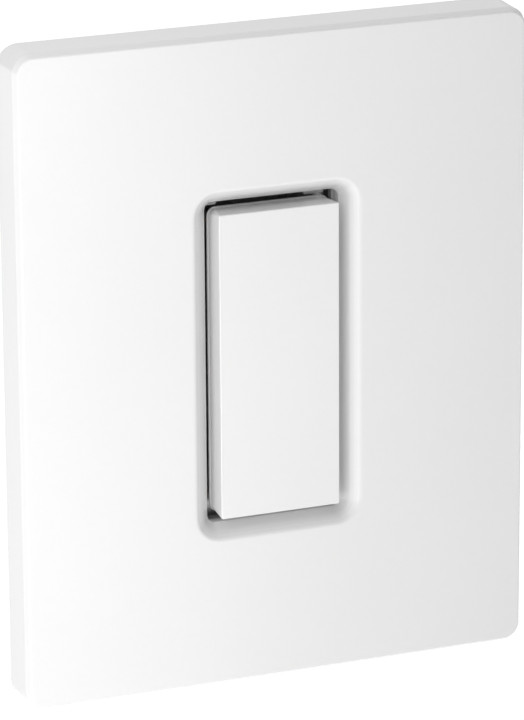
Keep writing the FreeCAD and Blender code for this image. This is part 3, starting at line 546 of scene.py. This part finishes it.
def surface(name, dark, light, roughness, grain, depth, metallic=0.0, drift=18.0, stretch=(1, 1, 1),
            coat=0.0, cells=0.0, sheen=0.0):
    """A surface whose tone drifts from DARK to LIGHT, with its own grain in gloss and relief.

    GRAIN and DRIFT are per metre and DEPTH is in metres; STRETCH draws the grain out along an axis, and
    CELLS is the fineness, per metre, of a crystal pattern like that of zinc.
    """
    material = bpy.data.materials.new(name)
    material.use_nodes = True
    tree = material.node_tree
    link = tree.links.new
    shader = tree.nodes["Principled BSDF"]
    fixed = {"Metallic": metallic, "IOR": PLASTIC_IOR, "Coat Weight": coat, "Coat Roughness": COAT_ROUGHNESS,
             "Sheen Weight": sheen}
    for socket, value in fixed.items():
        shader.inputs[socket].default_value = value
    place = tree.nodes.new("ShaderNodeTexCoord").outputs["Object"]
    drawn = node_of(tree, "ShaderNodeMapping", Scale=stretch)
    slow = node_of(tree, "ShaderNodeTexNoise", Scale=drift, Detail=3.0)
    fine = node_of(tree, "ShaderNodeTexNoise", Scale=grain, Detail=4.0)
    link(place, slow.inputs["Vector"])
    link(place, drawn.inputs["Vector"])
    link(drawn.outputs["Vector"], fine.inputs["Vector"])

    gloss = node_of(tree, "ShaderNodeMapRange", To_Min=roughness * (1 - GLOSS_SPREAD),
                    To_Max=roughness * (1 + GLOSS_SPREAD))
    relief = node_of(tree, "ShaderNodeBump", Strength=1.0, Distance=depth)
    link(fine.outputs["Fac"], gloss.inputs["Value"])
    link(gloss.outputs["Result"], shader.inputs["Roughness"])
    link(fine.outputs["Fac"], relief.inputs["Height"])
    link(relief.outputs["Normal"], shader.inputs["Normal"])

    tone = slow.outputs["Fac"]
    shares = GRAIN_SHARE
    if cells:
        crystals = node_of(tree, "ShaderNodeTexVoronoi", Scale=cells)
        link(place, crystals.inputs["Vector"])
        shade = tree.nodes.new("ShaderNodeRGBToBW")
        link(crystals.outputs["Color"], shade.inputs["Color"])
        tone = maths(tree, "MULTIPLY_ADD", shade.outputs["Val"], CELL_SHARE, tone)
        shares += CELL_SHARE
    centred = maths(tree, "SUBTRACT", tone, shares / 2)
    ramp = tree.nodes.new("ShaderNodeValToRGB")
    for element, position, colour in zip(ramp.color_ramp.elements, TONE_STOPS, (dark, light)):
        element.position = position
        element.color = (*colour, 1)
    link(maths(tree, "MULTIPLY_ADD", fine.outputs["Fac"], GRAIN_SHARE, centred), ramp.inputs["Fac"])
    link(ramp.outputs["Color"], shader.inputs["Base Color"])
    return material


def painted_shade_and_satin_recess(material):
    """Paint shade into the plate's dish and give it a satin finish: its colour is darkened by a grey
    multiply, painted shade deeper than the lamps give, and it is rougher than the polished face round it.
    """
    tree = material.node_tree
    link = tree.links.new
    shader = tree.nodes["Principled BSDF"]
    split = tree.nodes.new("ShaderNodeSeparateXYZ")
    link(tree.nodes.new("ShaderNodeTexCoord").outputs["Object"], split.inputs["Vector"])
    sunk = node_of(tree, "ShaderNodeMapRange", From_Min=-PLATE_DEEP * MM,
                   From_Max=(RECESS_FADE - PLATE_DEEP) * MM)
    link(split.outputs["Y"], sunk.inputs["Value"])
    mask = sunk.outputs["Result"]
    for axis, size in (("X", DISH_WIDE), ("Z", DISH_TALL)):
        within = maths(tree, "LESS_THAN", maths(tree, "ABSOLUTE", split.outputs[axis]), size / 2 * MM)
        mask = maths(tree, "MULTIPLY", within, mask)
    # This multiply darkens the dish's colour: it is painted shade, not a colour of the plastic.
    shaded = tree.nodes.new("ShaderNodeMix")
    shaded.data_type, shaded.blend_type = "RGBA", "MULTIPLY"
    factor, plain_colour, shade = (shaded.inputs[index] for index in (0, 6, 7))
    shade.default_value = (*grey(RECESS_PAINTED_SHADE), 1)
    link(mask, factor)
    link(shader.inputs["Base Color"].links[0].from_socket, plain_colour)
    link(shaded.outputs[2], shader.inputs["Base Color"])
    # The extra roughness in the dish is a real satin finish.
    gloss = shader.inputs["Roughness"].links[0].from_socket
    link(maths(tree, "MULTIPLY_ADD", mask, RECESS_EXTRA_ROUGHNESS, gloss), shader.inputs["Roughness"])


def grey(value, tint=0.0):
    """A grey, warmer with a positive TINT."""
    return value * (1 + tint), value, value * (1 - tint)


def paint(piece, material):
    """Give all of a piece one material."""
    piece.data.materials.clear()
    piece.data.materials.append(material)


ALONG_Z = (1, 1, 0.04)
ALONG_X = (0.04, 1, 1)
BRASS_DARK, BRASS_LIGHT = (0.52, 0.34, 0.13), (0.74, 0.54, 0.25)
# The first value is painted shade that darkens the dish's colour; the second is the dish's extra roughness,
# a real satin finish; the third is the depth, in millimetres, over which both come in.
RECESS_PAINTED_SHADE, RECESS_EXTRA_ROUGHNESS, RECESS_FADE = 0.84, 0.2, 1.0


def make_materials():
    """One material for each material slot of the record."""
    return {
        "white_plate": surface("gloss_white_plate", grey(0.845, 0.002), grey(0.86, 0.002), 0.15, 900, 3e-6,
                               coat=0.3),
        "white_rocker": surface("gloss_white_rocker", grey(0.855, 0.002), grey(0.87, 0.002), 0.15, 900, 3e-6,
                                coat=0.3),
        "light_grey_frame": surface("satin_light_grey", grey(0.40), grey(0.44), 0.38, 1400, 8e-6),
        "grey_sub_plate": surface("matt_grey_nylon", grey(0.24), grey(0.28), 0.55, 1800, 2e-5, drift=30),
        "plated_strap": surface("zinc_strap", grey(0.50, -0.02), grey(0.68, 0.015), 0.30, 2500, 4e-6, 1.0,
                                drift=40, stretch=ALONG_Z, cells=450),
        "plated_screws": surface("zinc_screws", grey(0.55, -0.015), grey(0.72, 0.02), 0.26, 2600, 3e-6, 1.0,
                                 drift=220),
        "fibre_washer": surface("vulcanised_fibre", (0.16, 0.075, 0.035), (0.27, 0.14, 0.07), 0.62, 3200,
                                1.5e-5, drift=160, stretch=ALONG_X),
        "black_rubber": surface("black_rubber", grey(0.018), grey(0.03), 0.72, 2400, 2e-5, drift=90,
                                sheen=0.15),
        "dark_housing": surface("dark_phenolic", grey(0.085, 0.05), grey(0.11, 0.05), 0.42, 2200, 1.2e-5,
                                drift=60),
        "ivory_base": surface("ivory_urea", (0.70, 0.66, 0.56), (0.76, 0.72, 0.62), 0.40, 1700, 1.4e-5,
                              drift=34, coat=0.08),
        "brass_rivet": surface("tumbled_brass", BRASS_DARK, BRASS_LIGHT, 0.32, 3000, 5e-6, 1.0, drift=260),
        "steel_pin": surface("drawn_steel", grey(0.50), grey(0.62), 0.22, 3000, 2e-6, 1.0, drift=200,
                             stretch=ALONG_X),
        "brass_terminal": surface("stamped_brass", BRASS_DARK, BRASS_LIGHT, 0.27, 2400, 4e-6, 1.0, drift=120,
                                  stretch=ALONG_Z),
        "brass_screw": surface("turned_brass", BRASS_DARK, (0.78, 0.58, 0.27), 0.24, 2800, 3e-6, 1.0,
                               drift=240),
        "clamp_steel": surface("clamp_zinc", grey(0.46, -0.02), grey(0.64, 0.02), 0.34, 2600, 5e-6, 1.0,
                               drift=180, cells=900),
        "silver_contact": surface("silver_alloy", grey(0.72, 0.02), grey(0.86, 0.015), 0.22, 3000, 3e-6, 1.0,
                                  drift=300),
        "green_screw": surface("green_passivated", (0.015, 0.16, 0.045), (0.04, 0.32, 0.10), 0.33, 2600,
                               4e-6, 0.85, drift=240),
        "grey_carrier": surface("grey_acetal", grey(0.24), grey(0.28), 0.42, 1600, 1e-5, drift=50),
        "white_plunger": surface("natural_acetal", grey(0.74, 0.02), grey(0.79, 0.02), 0.40, 1600, 1e-5,
                                 drift=60),
        "spring_steel": surface("spring_wire", grey(0.34), grey(0.46), 0.25, 3000, 2e-6, 1.0, drift=200),
    }


# ---- light, floor and camera -------------------------------------------------------------------

# The camera's distance, in millimetres, from the middle of the plate's face, and its angles in degrees; the
# floor and the lamp are in metres and watts; each lobe is a direction and a strength.
CAMERA_AWAY, CAMERA_LEFT, CAMERA_UP = 967.34, 22.155, 17.282
CAMERA_YAW, CAMERA_PITCH, CAMERA_ROLL = 21.937, -17.272, -0.378
CAMERA_LENS, SENSOR_WIDE = 226.66, 36
FLOOR_HEIGHT, FLOOR_GLOW = -0.32, 0.45
FLOOR_WIDE = 12
LAMP_PLACE, LAMP_WIDE, LAMP_TALL, LAMP_POWER = (-0.12, -0.13, 0.0), 0.10, 0.6, 0.33
WORLD_LOBES = (((0, 1, 0), 0.7), ((0, 0, 1), 0.78))


def make_camera():
    """A long lens to the left of the plate and above it, looking almost at its middle."""
    left, up = math.radians(CAMERA_LEFT), math.radians(CAMERA_UP)
    yaw, pitch, roll = (math.radians(angle) for angle in (CAMERA_YAW, CAMERA_PITCH, CAMERA_ROLL))
    place = Vector((-math.sin(left) * math.cos(up), -math.cos(left) * math.cos(up), math.sin(up)))
    ahead = Vector((math.sin(yaw) * math.cos(pitch), math.cos(yaw) * math.cos(pitch), math.sin(pitch)))
    level = Vector((math.cos(yaw), -math.sin(yaw), 0))
    above = level.cross(ahead)
    right = math.cos(roll) * level + math.sin(roll) * above
    top = -math.sin(roll) * level + math.cos(roll) * above
    data = bpy.data.cameras.new("photo_camera")
    data.lens, data.sensor_width = CAMERA_LENS, SENSOR_WIDE
    data.clip_start, data.clip_end = 0.01, 20
    camera = bpy.data.objects.new("photo_camera", data)
    bpy.context.scene.collection.objects.link(camera)
    turn = Matrix((right, top, -ahead)).transposed().to_4x4()
    camera.matrix_world = Matrix.Translation((place * CAMERA_AWAY + Vector((0, -PLATE_DEEP, 0))) * MM) @ turn
    bpy.context.scene.camera = camera


def make_lamp():
    """A tall strip lamp near the plate's left edge, which makes its face fade towards the right."""
    data = bpy.data.lights.new("strip", "AREA")
    data.shape, data.size, data.size_y, data.energy = "RECTANGLE", LAMP_WIDE, LAMP_TALL, LAMP_POWER
    lamp = bpy.data.objects.new("strip", data)
    bpy.context.scene.collection.objects.link(lamp)
    lamp.location = LAMP_PLACE
    lamp.visible_camera = False
    lamp.rotation_mode = "QUATERNION"
    lamp.rotation_quaternion = (-Vector(LAMP_PLACE)).to_track_quat("-Z", "Y")


def make_floor():
    """A pale floor that glows a little, so that it stays white under soft light."""
    bpy.ops.mesh.primitive_plane_add(size=FLOOR_WIDE, location=(0, 0, FLOOR_HEIGHT))
    floor = bpy.context.object
    floor.name = "floor"
    material = surface("floor_paint", grey(0.88), grey(0.90), 0.6, 300, 1e-4)
    shader = material.node_tree.nodes["Principled BSDF"]
    shader.inputs["Emission Color"].default_value = (1, 1, 1, 1)
    shader.inputs["Emission Strength"].default_value = FLOOR_GLOW
    paint(floor, material)


def make_world():
    """Soft light from each direction in WORLD_LOBES, which falls to nothing at right angles to it."""
    world = bpy.data.worlds.new("studio")
    bpy.context.scene.world = world
    world.use_nodes = True
    tree = world.node_tree
    background = tree.nodes["Background"]
    background.inputs["Color"].default_value = (1, 1, 1, 1)
    place = tree.nodes.new("ShaderNodeTexCoord").outputs["Generated"]
    total = 0.0
    for direction, strength in WORLD_LOBES:
        towards = tree.nodes.new("ShaderNodeVectorMath")
        towards.operation = "DOT_PRODUCT"
        towards.inputs[1].default_value = direction
        tree.links.new(place, towards.inputs[0])
        lobe = node_of(tree, "ShaderNodeMapRange", To_Max=strength)
        tree.links.new(towards.outputs["Value"], lobe.inputs["Value"])
        total = maths(tree, "ADD", lobe.outputs["Result"], total)
    tree.links.new(total, background.inputs["Strength"])


# ---- the whole switch --------------------------------------------------------------------------

# The nodes that keep their CAD shape, with the width, in millimetres, of their rounded edges.
SOFT_EDGES = {
    "inner_frame": 0.2, "sub_plate": 0.3, "mounting_strap": 0.18, "screw_retainers": 0.12,
    "stop_bumpers": 0.3, "switch_cover": 0.25, "switch_base": 0.3, "common_terminal": 0.15,
    "upper_terminal": 0.15, "lower_terminal": 0.15, "clamp_plates": 0.15, "rocker_carrier": 0.25,
    "upper_plunger": 0.2, "lower_plunger": 0.2, "upper_bridge": 0.12, "lower_bridge": 0.12,
    "upper_bridge_contacts": 0.2, "lower_bridge_contacts": 0.2,
}
body_of = {node: body for body, nodes in frame["record"]["behaviour"]["bodies"].items() for node in nodes}
slot_of = {part["node"]: part["material_slot"] for part in frame["record"]["subparts"]}

pieces = {"cover_plate": make_cover_shell(), "rocker_cap": make_rocker_shell()}
pieces.update(make_screws())
pieces.update(make_turned_pieces())
for end, sign in (("upper", 1), ("lower", -1)):
    pieces[f"{end}_spring"] = make_spring(end, sign)
for node, width in SOFT_EDGES.items():
    pieces[node] = softened(node, width, body_of[node])
materials = make_materials()
# Paint shade into the dish's colour and make its finish satin.
painted_shade_and_satin_recess(materials["white_plate"])
for node, piece in pieces.items():
    paint(piece, materials[slot_of[node]])
beads = make_snap_beads()
paint(beads, materials["white_plate"])

make_camera()
make_floor()
make_world()
make_lamp()
bpy.context.scene.view_settings.view_transform = "Standard"
